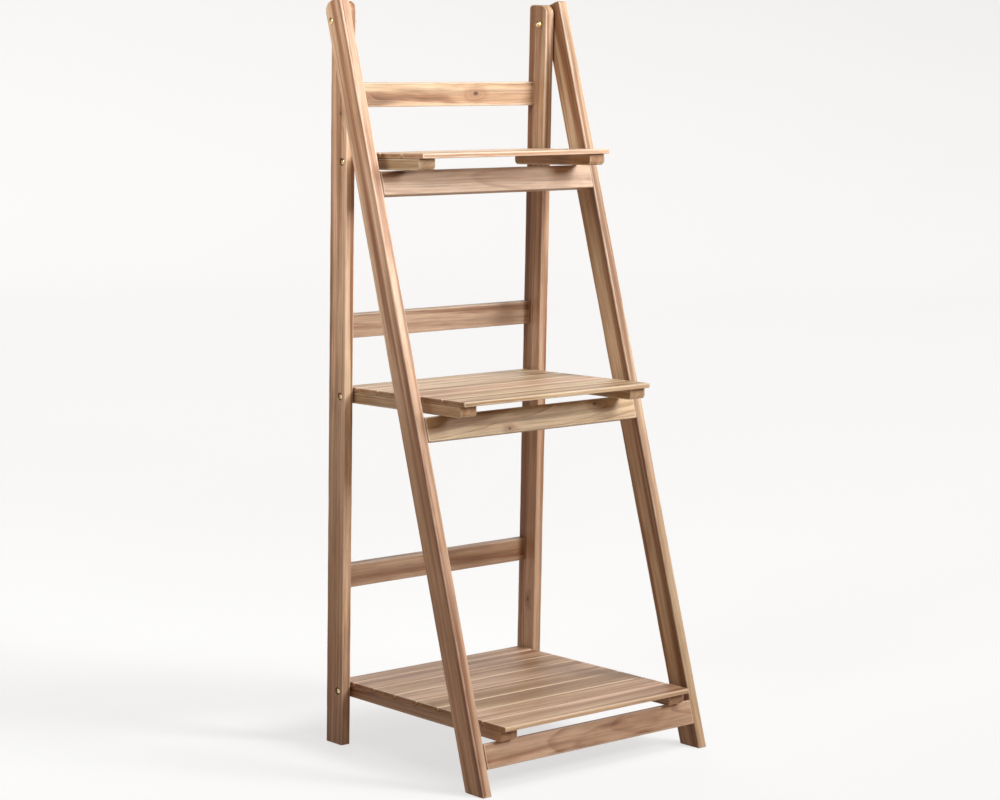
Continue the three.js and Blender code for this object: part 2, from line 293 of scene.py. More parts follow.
def grain_wander(g, stretched, warp):
    """How far the grain strays from straight: slow bends, and a finer waver on top."""
    middle_grey = (0.5, 0.5, 0.5)
    slow = g.vector("SUBTRACT", g.noise(stretched(SLOW_BENDS), 2.0, 0.45, "Color"), middle_grey)
    fast = g.vector("SUBTRACT", g.noise(stretched(FAST_WAVERS), 2.0, 0.5, "Color"), middle_grey)
    fine_warp = 0.06 * warp
    return g.vector(
        "ADD", g.vector("MULTIPLY", slow, (warp,) * 3), g.vector("MULTIPLY", fast, (fine_warp,) * 3)
    )


def knot_masks(g, shifted, stretched, share):
    """Masks for the knots' cores, the halos round them, and the swirl of the grain past them.

    Knots run through the board, so they are placed along and across it only, in cells of which the
    given share hold one."""
    plane = g.vector("MULTIPLY", shifted, (1, 1, 0))
    in_cells = g.vector("DIVIDE", plane, (*KNOT_CELL, 1))
    cells = g.node(
        "ShaderNodeTexVoronoi",
        {"Vector": in_cells, "Scale": 1.0, "Randomness": 1.0},
        voronoi_dimensions="2D",
    )
    from_centre = g.vector("SUBTRACT", in_cells, cells.outputs["Position"])
    away = g.vector("MULTIPLY", from_centre, (*KNOT_CELL, 0))
    chance, largeness, _ = g.split(cells.outputs["Color"])
    present = g.math("LESS_THAN", chance, share)
    size = g.math("MULTIPLY_ADD", largeness, 0.8, 0.6)
    ragged = g.math("MULTIPLY_ADD", g.noise(stretched(KNOT_RIMS), 2.0, 0.6), 0.8, 0.6)
    # Knots are long along the grain, and the swirls round them longer still.
    distance = g.vector("LENGTH", g.vector("MULTIPLY", away, (0.6, 1.0, 1.0)))
    distance = g.math("DIVIDE", g.math("MULTIPLY", distance, ragged), size)
    core = g.inverse(g.smooth(distance, 1 * MM, 3 * MM))
    halo = g.inverse(g.smooth(distance, 2 * MM, 14 * MM))
    flowing = g.vector("LENGTH", g.vector("MULTIPLY", away, (0.32, 1.0, 1.0)))
    swirl = g.math("EXPONENT", g.math("MULTIPLY", g.math("POWER", flowing, 2.0), -15000.0))
    return [g.math("MULTIPLY", mask, present) for mask in (core, halo, swirl)]


def growth_rings(g, board, seed, wander, swirl, spacing, pith, tilt):
    """Rings round the pith line, from 0 in early wood to about 1 in late wood."""
    seed_x, seed_y, seed_z = g.split(seed)
    along, across, through = g.split(board)
    _, wander_y, wander_z = g.split(wander)
    pith_across = g.math("ADD", pith[0], g.math("MULTIPLY", g.math("SUBTRACT", seed_x, 0.5), 0.05))
    pith_through = g.math("SUBTRACT", -pith[1], g.math("MULTIPLY", seed_y, 0.02))
    lean = g.math("MULTIPLY", g.math("SUBTRACT", seed_z, 0.5), tilt)
    from_pith_across = g.math("ADD", g.math("SUBTRACT", across, pith_across), wander_y)
    from_pith_through = g.math("ADD", g.math("SUBTRACT", through, pith_through), wander_z)
    from_pith_through = g.math("ADD", from_pith_through, g.math("MULTIPLY", along, lean))
    radius = g.vector("LENGTH", g.join(0.0, from_pith_across, from_pith_through))
    radius = g.math("ADD", radius, g.math("MULTIPLY", swirl, 10 * MM))

    # Some years grew faster than others.
    log_place = g.math("MULTIPLY_ADD", seed_y, 40.0, g.math("MULTIPLY", radius, 70.0))
    years = g.node(
        "ShaderNodeTexNoise", {"W": log_place, "Scale": 1.0, "Detail": 1.0}, noise_dimensions="1D"
    ).outputs["Fac"]
    phase = g.math("ADD", g.math("DIVIDE", radius, spacing), g.math("MULTIPLY", years, 2.2))
    year = g.math("FLOOR", phase)
    strength = g.node(
        "ShaderNodeTexWhiteNoise",
        {"W": g.math("ADD", year, g.math("MULTIPLY", seed_x, 31.0))},
        noise_dimensions="1D",
    ).outputs["Value"]
    season = g.math("FRACT", phase)
    late = g.ramp(season, *LATE_WOOD)
    return g.math("MULTIPLY", late, g.math("MULTIPLY_ADD", strength, 0.80, 0.20))


def streaky_colour(g, stretched, wander, ring, streaks, flames):
    """Early and late wood, with pale and dark bands, wavy flames and veins that follow the grain."""

    def flowing(pattern, pull):
        return g.vector("ADD", stretched(pattern), g.vector("MULTIPLY", wander, (0, pull, pull)))

    band = g.noise(flowing(BANDS, 75), 2.0, 0.55)
    flame = g.noise(flowing(FLAMES, 130), 3.0, 0.6)
    vein = g.noise(flowing(VEINS, 90), 2.0, 0.5)
    patch = g.noise(stretched(PATCHES), 3.0, 0.6)

    colour = g.mix(g.smooth(patch, 0.35, 0.68), PALE, TAN)
    colour = g.tint(colour, g.smooth(g.inverse(band), 0.52, 0.68), 0.70, PALE)
    colour = g.tint(colour, ring, 0.72, RUSSET)
    colour = g.tint(colour, g.smooth(band, 0.46, 0.62), streaks, RUSSET)
    band_core = g.math("MULTIPLY", g.smooth(band, 0.57, 0.72), streaks)
    colour = g.tint(colour, band_core, g.math("MULTIPLY_ADD", ring, 0.5, 0.35), DARK)
    flame_edge = g.math("MULTIPLY", g.smooth(flame, 0.52, 0.66), flames)
    colour = g.tint(colour, flame_edge, g.math("MULTIPLY_ADD", ring, 0.45, 0.45), RUSSET)
    flame_core = g.math("MULTIPLY", g.smooth(flame, 0.57, 0.70), flames)
    colour = g.tint(colour, flame_core, g.math("MULTIPLY_ADD", ring, 0.55, 0.35), DARK)
    colour = g.tint(colour, g.smooth(vein, 0.60, 0.74), 0.32, DARK)
    return g.tint(colour, g.smooth(g.inverse(vein), 0.58, 0.72), 0.34, PALE)


def wood_material(name, ring_spacing, pith, tilt, warp, streaks, flames, knots, tone=1.0):
    """Growth rings round a pith line beside the board, in the board's own coordinates.

    pith is how far the line lies from the board's middle, across and through it, tilt how much it
    leans along the grain, warp how far the rings wander, streaks the strength of the broad dark
    bands, flames that of the wavy dark patches, knots the share of places for a knot that hold one,
    and tone a factor on the colour. Each board's seed attribute varies all of them."""
    material, g = new_material(name)
    board = g.attribute("board")
    half = g.attribute("half")
    seed = g.attribute("seed")
    shifted = g.vector("ADD", board, g.vector("MULTIPLY", seed, SEED_SHIFT))

    def stretched(pattern):
        return g.vector("MULTIPLY", shifted, pattern)

    wander = grain_wander(g, stretched, warp)
    knot, halo, swirl = knot_masks(g, shifted, stretched, knots)
    ring = growth_rings(g, board, seed, wander, swirl, ring_spacing, pith, tilt)
    fibre = g.noise(stretched(FIBRES), 3.0, 0.6)
    thread = g.noise(stretched(THREADS), 2.0, 0.55)
    pores = g.smooth(g.noise(stretched(PORES), 1.0, 0.5), 0.60, 0.74)

    colour = streaky_colour(g, stretched, wander, ring, streaks, flames)
    grain = g.math("MULTIPLY_ADD", g.math("ADD", fibre, thread), 0.78, 0.22)
    colour = g.mix(1.0, colour, g.join(grain, grain, grain), "MULTIPLY")
    colour = g.tint(colour, pores, 0.22, DARK)
    colour = g.tint(colour, halo, 0.60, RUSSET)
    colour = g.tint(colour, knot, 0.88, KNOT)

    # The eased edges are paler, unevenly: wear from handling, and a painted highlight where the rounded
    # edges catch the light. The sawn ends soak up more finish.
    gap_x, gap_y, gap_z = g.split(g.vector("SUBTRACT", half, g.vector("ABSOLUTE", board)))
    nearer = g.math("MINIMUM", gap_y, gap_z)
    farther = g.math("MAXIMUM", gap_y, gap_z)
    to_edge = g.math("MAXIMUM", nearer, g.math("MINIMUM", farther, gap_x))
    uneven = g.math("MULTIPLY_ADD", g.noise(stretched(EDGE_WEAR_AND_HIGHLIGHT), 2.0, 0.6), 3.4 * MM, -0.2 * MM)
    worn_and_highlit = g.inverse(g.smooth(g.math("SUBTRACT", to_edge, uneven), -0.4 * MM, 1.1 * MM))
    colour = g.tint(colour, worn_and_highlit, 0.70, WORN_AND_HIGHLIT)
    end = g.inverse(g.smooth(gap_x, 0.2 * MM, 1.2 * MM))
    colour = g.tint(colour, end, 0.55, RUSSET)
    # The walls of drilled holes, which lie inside the board and away from its shaped ends, are darker:
    # painted shade in the holes and recesses, over the darker cut end grain of their walls.
    inside = g.smooth(nearer, 0.9 * MM, 1.6 * MM)
    drilled_and_shaded = g.math("MULTIPLY", inside, g.smooth(gap_x, 16 * MM, 18 * MM))
    colour = g.tint(colour, drilled_and_shaded, 0.75, DARK)

    # The seed's second number sets the board's lightness; below 0 it is painted shade from the shelves
    # above.
    _, seed_y, seed_z = g.split(seed)
    lightness = g.math("MULTIPLY", g.math("MULTIPLY_ADD", seed_y, 0.20, 0.90), tone)
    colour = g.mix(1.0, colour, g.join(lightness, lightness, lightness), "MULTIPLY")
    hue_cloud = g.math("MULTIPLY", g.noise(stretched(HUE_CLOUDS), 2.0, 0.5), 0.6)
    hue = g.smooth(g.math("MULTIPLY_ADD", seed_z, 0.5, hue_cloud), 0.3, 0.8)
    colour = g.mix(1.0, colour, g.mix(hue, PINKISH, YELLOWISH), "MULTIPLY")

    roughness = g.math("MULTIPLY_ADD", fibre, 0.18, 0.42)
    roughness = g.math("SUBTRACT", roughness, g.math("MULTIPLY", worn_and_highlit, 0.08))
    roughness = g.math("ADD", roughness, g.math("MULTIPLY", end, 0.15))
    height = g.math("ADD", g.math("MULTIPLY", fibre, 0.5), g.math("MULTIPLY", ring, -0.35))
    height = g.math("ADD", height, g.math("MULTIPLY", thread, 0.35))
    height = g.math("SUBTRACT", height, g.math("MULTIPLY", pores, 0.4))
    height = g.math("SUBTRACT", height, g.math("MULTIPLY", knot, 0.6))
    finish_material(g, colour, roughness, height, 0.55, 0.35 * MM, Specular_IOR_Level=0.42)
    return material


def dowel_material():
    """Bare dowel wood, its grain straight along X."""
    material, g = new_material("dowel_wood")
    place = g.node("ShaderNodeTexCoord").outputs["Object"]
    fibre = g.noise(g.vector("MULTIPLY", place, (30, 900, 900)), 3.0, 0.6)
    colour = g.ramp(fibre, (0.3, (0.42, 0.27, 0.15)), (0.7, (0.62, 0.44, 0.27)))
    finish_material(g, colour, g.math("MULTIPLY_ADD", fibre, 0.2, 0.6), fibre, 0.4, 0.3 * MM)
    return material


# ---- Brass-plated steel ----
BRIGHT_BRASS = (0.83, 0.66, 0.36)
DULL_BRASS = (0.58, 0.42, 0.20)
TARNISH = (0.10, 0.055, 0.02)


def brass_material():
    """Bright plating with duller clouds, specks of tarnish and fine scratches."""
    material, g = new_material("brass")
    place = g.node("ShaderNodeTexCoord").outputs["Object"]
    cloud = g.noise(g.vector("MULTIPLY", place, (260, 260, 260)), 4.0, 0.6)
    speck = g.smooth(g.noise(g.vector("MULTIPLY", place, (1500,) * 3), 2.0, 0.5), 0.62, 0.75)
    scratch = g.noise(g.vector("MULTIPLY", place, (400, 6000, 900)), 2.0, 0.5)
    colour = g.mix(g.smooth(cloud, 0.40, 0.68), BRIGHT_BRASS, DULL_BRASS)
    colour = g.tint(colour, speck, 0.5, TARNISH)
    roughness = g.math("MULTIPLY_ADD", cloud, 0.30, 0.14)
    roughness = g.math("ADD", roughness, g.math("MULTIPLY", speck, 0.3))
    height = g.math("ADD", g.math("MULTIPLY", scratch, 0.5), g.math("MULTIPLY", cloud, 0.5))
    finish_material(g, colour, roughness, height, 0.25, 0.1 * MM, Metallic=1.0)
    return material


# ---- Meshes ----
def arc(centre, radius, start, end, steps):
    """(radius, height) points on a circle, angles in degrees from the radial direction."""
    angles = (math.radians(start + (end - start) * k / steps) for k in range(steps + 1))
    return [(centre[0] + radius * math.cos(a), centre[1] + radius * math.sin(a)) for a in angles]


def dome(base, radius, rise, steps=8):
    """A low dome from (radius, base) to the axis at base + rise."""
    angles = (math.pi / 2 * k / steps for k in range(steps + 1))
    return [(radius * math.cos(a), base + rise * math.sin(a)) for a in angles]


def revolved(profile, segments, widest=None):
    """A bmesh of (radius, height) points turned about Z, closed where the profile ends on the axis.

    widest(angle) limits the radius, for shapes with flats."""
    mesh = bmesh.new()
    angles = [2 * math.pi * k / segments for k in range(segments)]
    rings = []
    for radius, height in profile:
        if radius < 1e-9:
            rings.append([mesh.verts.new((0, 0, height))])
            continue
        reach = [min(radius, widest(a)) if widest else radius for a in angles]
        places = [(r * math.cos(a), r * math.sin(a), height) for r, a in zip(reach, angles)]
        rings.append([mesh.verts.new(place) for place in places])
    for lower, upper in zip(rings, rings[1:]):
        for i in range(segments):
            j = (i + 1) % segments
            around = [lower[i % len(lower)], lower[j % len(lower)]]
            around += [upper[j % len(upper)], upper[i % len(upper)]]
            face = list(dict.fromkeys(around))
            if len(face) > 2:
                mesh.faces.new(face)
    bmesh.ops.recalc_face_normals(mesh, faces=mesh.faces)
    return mesh


def prism(sides, radius, low, high):
    return revolved([(0, low), (radius, low), (radius, high), (0, high)], sides)


def to_object(name, mesh, matrix=None):
    data = bpy.data.meshes.new(name)
    mesh.to_mesh(data)
    mesh.free()
    made = bpy.data.objects.new(name, data)
    if matrix is not None:
        made.matrix_world = matrix
    bpy.context.scene.collection.objects.link(made)
    return made


def subtract(piece, cutters):
    """Cuts the closed meshes, given in the piece's own axes and clear of each other, out of it."""
    joined = bmesh.new()
    for cutter in cutters:
        spare = bpy.data.meshes.new("cutter")
        cutter.to_mesh(spare)
        cutter.free()
        joined.from_mesh(spare)
        bpy.data.meshes.remove(spare)
    tool = to_object("cutter", joined, piece.matrix_world)
    modifier = piece.modifiers.new("holes", "BOOLEAN")
    modifier.operation = "DIFFERENCE"
    modifier.solver = "EXACT"
    modifier.object = tool
    bpy.context.view_layer.update()
    evaluated = piece.evaluated_get(bpy.context.evaluated_depsgraph_get())
    cut = bpy.data.meshes.new_from_object(evaluated)
    piece.modifiers.clear()
    old = piece.data
    piece.data = cut
    bpy.data.meshes.remove(old)
    bpy.data.objects.remove(tool)


def shade(piece, sharp_angle):
    """Puts the mesh in the model's axes. Smooth faces with sharp creases, and normals that keep the
    flat faces flat."""
    piece.data.transform(piece.matrix_world)
    piece.matrix_world = Matrix.Identity(4)
    mesh = bmesh.new()
    mesh.from_mesh(piece.data)
    for face in mesh.faces:
        face.smooth = True
    for edge in mesh.edges:
        edge.smooth = len(edge.link_faces) == 2 and edge.calc_face_angle(0) < sharp_angle
    mesh.to_mesh(piece.data)
    mesh.free()
    modifier = piece.modifiers.new("normals", "WEIGHTED_NORMAL")
    modifier.mode = "FACE_AREA"
    modifier.weight = 60
    modifier.keep_sharp = True


# ---- Places in the CAD ----
def middle(node):
    low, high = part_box(node)
    return (low + high) / 2


def outer_face(node, side):
    """Where the node ends along X, on the given side."""
    low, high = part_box(node)
    return high.x if side > 0 else low.x


def span(node):
    """How far the node reaches along X."""
    low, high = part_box(node)
    return high.x - low.x


def lean_axes(node):
    """The frame axes (behind, up) of a leg or rail, from the largest face that doesn't face sideways."""
    sums = {}
    for polygon in frame["nodes"][node].data.polygons:
        normal = polygon.normal if polygon.normal.y > 0 else -polygon.normal
        if abs(normal.x) < 0.1:
            key = tuple(round(c, 2) for c in normal)
            sums[key] = sums.get(key, Vector()) + normal * polygon.area
    behind = max(sums.values(), key=lambda total: total.length).normalized()
    return behind, X_AXIS.cross(behind)


def local_frame(node, along, across):
    """The matrix from a board's own axes to the model's, and the board's half size."""
    axes = Matrix((along, across, along.cross(across))).transposed()
    local = [axes.transposed() @ vertex.co for vertex in frame["nodes"][node].data.vertices]
    low = Vector([min(p[i] for p in local) for i in range(3)])
    high = Vector([max(p[i] for p in local) for i in range(3)])
    matrix = Matrix.Translation(axes @ ((low + high) / 2)) @ axes.to_4x4()
    return matrix, (high - low) / 2


# ---- Holes ----
def placed_cutter(profile, centre, axis):
    mesh = revolved(profile, 48)
    turn = Z_AXIS.rotation_difference(axis).to_matrix().to_4x4()
    mesh.transform(Matrix.Translation(centre) @ turn)
    return mesh


def hole_cutter(centre, axis, radius, length):
    """A cylinder along axis, from a little before centre."""
    profile = [(0, -OVERRUN), (radius, -OVERRUN), (radius, length), (0, length)]
    return placed_cutter(profile, centre, axis)


def counterbore_cutter(centre, axis, radius, length):
    """A hole with a wider recess for a screw's head, its mouth slightly rounded over."""
    mouth = COUNTERBORE_RADIUS + COUNTERBORE_RIM
    profile = [(0, -OVERRUN), (mouth, -OVERRUN)]
    profile += arc((mouth, COUNTERBORE_RIM), COUNTERBORE_RIM, -90, -180, 4)
    profile += [(COUNTERBORE_RADIUS, COUNTERBORE_DEPTH), (radius, COUNTERBORE_DEPTH)]
    profile += [(radius, length), (0, length)]
    return placed_cutter(profile, centre, axis)


def pivot_cutter(side_name):
    """A hole for the pivot bolt, right through a leg."""
    start = middle(f"pivot_washer_{side_name}") - X_AXIS * PIVOT_HOLE_LENGTH / 2
    return hole_cutter(start, X_AXIS, PIVOT_HOLE_RADIUS, PIVOT_HOLE_LENGTH)


def dowel_cutter(dowel):
    """A hole round the whole dowel, which the leg or rail only partly holds."""
    low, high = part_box(dowel)
    reach = span(dowel) / 2 + HOLE_CLEARANCE
    start = middle(dowel) - X_AXIS * (reach - OVERRUN)
    radius = (high.y - low.y) / 2 + HOLE_CLEARANCE
    return hole_cutter(start, X_AXIS, radius, 2 * reach - OVERRUN)


def hinge_mouth(node, shelf, side_name):
    """Where the shelf's hinge screw enters the node's outer face."""
    hinge = middle(f"shelf_{shelf}_hinge_screw_{side_name}")
    return Vector((outer_face(node, SIDES[side_name]), hinge.y, hinge.z))


# ---- Boards ----
def outline_points(corners, rng):
    """Points round a convex outline, anticlockwise, each with the step inwards to the flat face.

    Each corner is (position, fillet radius, rounding of the edge that leaves it)."""
    phase = rng.uniform(0, 100)

    def wobble(point):
        place = Vector((point.x * EDGE_WAVES, point.y * EDGE_WAVES, phase))
        return 1 + EDGE_UNEVENNESS * noise.noise(place)

    found = []
    for i, (corner, fillet, edge_out) in enumerate(corners):
        before, _, edge_in = corners[i - 1]
        after, next_fillet, _ = corners[(i + 1) % len(corners)]
        beyond = corners[(i + 2) % len(corners)][0]
        way_in = (corner - before).normalized()
        way_out = (after - corner).normalized()
        normal_in = Vector((way_in.y, -way_in.x))
        normal_out = Vector((way_out.y, -way_out.x))
        turn = way_in.angle(way_out)
        reach = fillet * math.tan(turn / 2)
        centre = corner - way_in * reach - normal_in * fillet
        # Where both edges' inner lines meet.
        det = normal_in.x * normal_out.y - normal_in.y * normal_out.x
        inner = corner + Vector(
            (
                (-edge_in * normal_out.y + edge_out * normal_in.y) / det,
                (-edge_out * normal_in.x + edge_in * normal_out.x) / det,
            )
        )
        sharp = fillet < 1.3 * max(edge_in, edge_out)
        count = max(3, round(fillet * turn / ARC_STEP))
        for k in range(count + 1):
            share = k / count
            direction = normal_in.copy()
            direction.rotate(Matrix.Rotation(turn * share, 2))
            point = centre + direction * fillet
            edge = edge_in * (1 - share) + edge_out * share
            found.append((point, inner - point if sharp else -direction * edge * wobble(point)))
        next_turn = way_out.angle((beyond - after).normalized())
        start = corner + way_out * reach
        end = after - way_out * next_fillet * math.tan(next_turn / 2)
        steps = max(1, round((end - start).length / OUTLINE_STEP))
        for k in range(1, steps):
            point = start.lerp(end, k / steps)
            found.append((point, -normal_out * edge_out * wobble(point)))
    return found


def rounded_slab(outline, half_through):
    """A closed mesh: the outline extruded, its edges rounded by as much as each point steps inwards."""
    mesh = bmesh.new()
    rings = []
    for side in (-1, 1):
        for k in range(EDGE_RINGS + 1):
            angle = math.pi / 2 * (k / EDGE_RINGS if side > 0 else 1 - k / EDGE_RINGS)
            ring = []
            for point, inwards in outline:
                at = point + inwards * (1 - math.cos(angle))
                depth = min(inwards.length, half_through * 0.9)
                height = side * (half_through - depth * (1 - math.sin(angle)))
                ring.append(mesh.verts.new((at.x, at.y, height)))
            rings.append(ring)
    count = len(outline)
    for lower, upper in zip(rings, rings[1:]):
        for i in range(count):
            j = (i + 1) % count
            mesh.faces.new((lower[i], lower[j], upper[j], upper[i]))
    mesh.faces.new(list(reversed(rings[0])))
    mesh.faces.new(rings[-1])
    bmesh.ops.remove_doubles(mesh, verts=mesh.verts, dist=0.02 * MM)
    bmesh.ops.dissolve_degenerate(mesh, dist=0.01 * MM, edges=mesh.edges)
    return mesh


def add_vectors(data, name, values):
    attribute = data.attributes.new(name, "FLOAT_VECTOR", "POINT")
    attribute.data.foreach_set("vector", np.asarray(values, np.float32).ravel())


def make_board(node, along, across, corners, material, cutters=()):
    """A board in place of a CAD node. corners(matrix, half) gives the outline's corners."""
    rng = random.Random(node)
    matrix, half = local_frame(node, along, across)
    outline = outline_points(corners(matrix, half), rng)
    piece = to_object(node + "_wood", rounded_slab(outline, half.z), matrix)
    if cutters:
        for cutter in cutters:
            cutter.transform(matrix.inverted())
        subtract(piece, cutters)
    data = piece.data
    count = len(data.vertices)
    places = np.empty(count * 3, np.float32)
    data.vertices.foreach_get("co", places)
    seed = BOARD_SEEDS.get(node) or [rng.random() for _ in range(3)]
    add_vectors(data, "board", places)
    add_vectors(data, "half", np.tile(tuple(half), (count, 1)))
    add_vectors(data, "seed", np.tile(seed, (count, 1)))
    data.materials.clear()
    data.materials.append(material)
    shade(piece, math.radians(38))
    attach(piece, frame["nodes"][node]["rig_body"])
    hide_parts(node)


def rectangle(half, fillet, long_edge, end_edge):
    """Corners of a board's outline, anticlockwise. Its sawn ends lie across the first axis."""
    return [
        (Vector((-half.x, -half.y)), fillet, long_edge),
        (Vector((half.x, -half.y)), fillet, end_edge),
        (Vector((half.x, half.y)), fillet, long_edge),
        (Vector((-half.x, half.y)), fillet, end_edge),
    ]


def leg_corners(front_radius, rear_radius):
    """A leg's outline in (up, behind): feet cut level with the floor, round top corners."""

    def corners(matrix, half):
        def foot(across):
            at = matrix @ Vector((0, across, 0))
            slope = matrix.col[0].z
            return Vector((-at.z / slope, across))

        return [
            (foot(-half.y), FOOT_RADIUS, LEG_EDGE),
            (Vector((half.x, -half.y)), front_radius, LEG_EDGE),
            (Vector((half.x, half.y)), rear_radius, LEG_EDGE),
            (foot(half.y), FOOT_RADIUS, SAWN_EDGE),
        ]

    return corners


def rail_corners(matrix, half):
    return rectangle(half, RAIL_CORNER, RAIL_EDGE, RAIL_END_EDGE)


def slat_corners(matrix, half):
    return rectangle(half, SLAT_CORNER, SLAT_EDGE, SAWN_EDGE)


def batten_corners(matrix, half):
    """Front to back, with both lower corners rounded."""
    return [
        (Vector((-half.x, -half.y)), BATTEN_NOSE_RADIUS, BATTEN_EDGE),
        (Vector((half.x, -half.y)), BATTEN_NOSE_RADIUS, SAWN_EDGE),
        (Vector((half.x, half.y)), BATTEN_TOP_RADIUS, BATTEN_EDGE),
        (Vector((-half.x, half.y)), BATTEN_TOP_RADIUS, SAWN_EDGE),
    ]


def make_leg(which, side_name, material):
    node = f"{which}_leg_{side_name}"
    behind, up = lean_axes(node)
    cutters = [pivot_cutter(side_name)]
    cutters += [dowel_cutter(f"{which}_rail_{name}_dowel_{side_name}") for name in SHELVES]
    corners = leg_corners(SMALL_TOP_RADIUS, LARGE_TOP_RADIUS)
    if which == "back":
        corners = leg_corners(LARGE_TOP_RADIUS, SMALL_TOP_RADIUS)
        inwards = -SIDES[side_name] * X_AXIS
        for name in SHELVES:
            mouth = hinge_mouth(node, name, side_name)
            cutter = counterbore_cutter(mouth, inwards, HINGE_HOLE_RADIUS, LEG_HINGE_HOLE_DEPTH)
            cutters.append(cutter)
    make_board(node, up, behind, corners, material, cutters)


def make_legs(material):
    for side_name in SIDES:
        for which in ("front", "back"):
            make_leg(which, side_name, material)


def make_rails(material):
    for which in ("front", "back"):
        for name in SHELVES:
            node = f"{which}_rail_{name}"
            _, up = lean_axes(node)
            cutters = [dowel_cutter(f"{node}_dowel_{side_name}") for side_name in SIDES]
            make_board(node, X_AXIS, up, rail_corners, material, cutters)


def make_shelves(slat_wood, batten_wood):
    for name in SHELVES:
        slats = [n for n in frame["nodes"] if n.startswith(f"shelf_{name}_slat")]
        for node in sorted(slats):
            make_board(node, X_AXIS, Y_AXIS, slat_corners, slat_wood)
        for side_name, side in SIDES.items():
            node = f"shelf_{name}_batten_{side_name}"
            mouth = hinge_mouth(node, name, side_name)
            inwards = -side * X_AXIS
            hole = hole_cutter(mouth, inwards, HINGE_HOLE_RADIUS, BATTEN_HINGE_HOLE_DEPTH)
            make_board(node, Y_AXIS, Z_AXIS, batten_corners, batten_wood, [hole])


# ---- Hardware ----
def make_hardware(node, mesh, side, seat, cutters, material):
    """A piece of hardware in place of a CAD node.

    The mesh and its cutters are drawn along +Z from a seat at z = 0. The seat goes to the given
    place on the X axis, and +Z is turned to point to the given side."""
    at = middle(node)
    turn = Z_AXIS.rotation_difference(side * X_AXIS).to_matrix().to_4x4()
    piece = to_object(node + "_brass", mesh, Matrix.Translation((seat, at.y, at.z)) @ turn)
    piece.data.materials.append(material)
    for cutter in cutters:
        subtract(piece, [cutter])
    shade(piece, math.radians(30))
    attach(piece, frame["nodes"][node]["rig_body"])
    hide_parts(node)


def domed_head(radius, height, rim_height, dome_step):
    """A screw head's profile: a thin straight rim, eased below, under a dome a little narrower."""
    profile = [(radius - HEAD_EASING[0], 0), (radius, HEAD_EASING[1]), (radius, rim_height)]
    return profile + dome(rim_height, radius - dome_step, height - rim_height)


def make_bolt(node, side, material):
    """A pivot bolt with a low round head and a hexagonal socket in it."""
    length = span(node) - BOLT_HEAD_HEIGHT
    radius = BOLT_SHANK_RADIUS
    narrowing, chamfer = BOLT_END_CHAMFER
    profile = [(0, -length), (radius - narrowing, -length), (radius, chamfer - length), (radius, 0)]
    profile += domed_head(BOLT_HEAD_RADIUS, BOLT_HEAD_HEIGHT, BOLT_RIM_HEIGHT, BOLT_DOME_STEP)
    seat = outer_face(node, side) - side * BOLT_HEAD_HEIGHT
    socket_floor = BOLT_HEAD_HEIGHT - BOLT_SOCKET_DEPTH
    socket = prism(6, BOLT_SOCKET_RADIUS, socket_floor, BOLT_HEAD_HEIGHT + 2 * OVERRUN)
    make_hardware(node, revolved(profile, 64), side, seat, [socket], material)


def make_cap_nut(node, side, material):
    """A hexagonal nut, its corners turned down at both ends, under a round cap. It points inwards."""
    flat = NUT_HALF_WIDTH
    corner = flat / math.cos(math.pi / 6)

    def hexagon(angle):
        return flat / math.cos((angle + math.pi / 6) % (math.pi / 3) - math.pi / 6)

    collar_top = NUT_HEX_HEIGHT + NUT_CAP_COLLAR
    profile = [(0, 0), (flat, 0), (corner, NUT_BASE_TURNING)]
    profile += [(corner, NUT_HEX_HEIGHT - NUT_TOP_TURNING), (0.98 * flat, NUT_HEX_HEIGHT)]
    profile += [(1.02 * NUT_CAP_RADIUS, NUT_HEX_HEIGHT)]
    profile += dome(collar_top, NUT_CAP_RADIUS, span(node) - collar_top, steps=9)
    thread = prism(48, BOLT_SHANK_RADIUS + HOLE_CLEARANCE, -OVERRUN, NUT_HOLE_DEPTH)
    nut = revolved(profile, 72, widest=hexagon)
    make_hardware(node, nut, -side, outer_face(node, side), [thread], material)


def make_washer(node, side, material):
    thick = span(node)
    low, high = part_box(node)
    flat_radius = (high.z - low.z) / 2 - WASHER_EASING
    profile = [(0, 0)]
    profile += arc((flat_radius, WASHER_EASING), WASHER_EASING, -90, 0, 4)
    profile += arc((flat_radius, thick - WASHER_EASING), WASHER_EASING, 0, 90, 4)
    profile += [(0, thick)]
    hole = prism(48, BOLT_SHANK_RADIUS + HOLE_CLEARANCE, -OVERRUN, thick + OVERRUN)
    make_hardware(node, revolved(profile, 64), side, outer_face(node, -side), [hole], material)


def make_pivot_hardware(material):
    for side_name, side in SIDES.items():
        make_bolt(f"pivot_bolt_{side_name}", side, material)
        make_cap_nut(f"pivot_cap_nut_{side_name}", side, material)
        make_washer(f"pivot_washer_{side_name}", side, material)


def slot_bar(degrees):
    """A bar that cuts one slot across a hinge screw's head."""
    bar = bmesh.new()
    bmesh.ops.create_cube(bar, size=1)
    size = Matrix.Diagonal((SCREW_SLOT_LENGTH, SCREW_SLOT_WIDTH, SLOT_BAR_HEIGHT, 1))
    height = SCREW_HEAD_HEIGHT - SCREW_SLOT_DEPTH + SLOT_BAR_HEIGHT / 2
    spin = Matrix.Rotation(math.radians(degrees), 4, "Z")
    bar.transform(Matrix.Translation((0, 0, height)) @ spin @ size)
    return bar


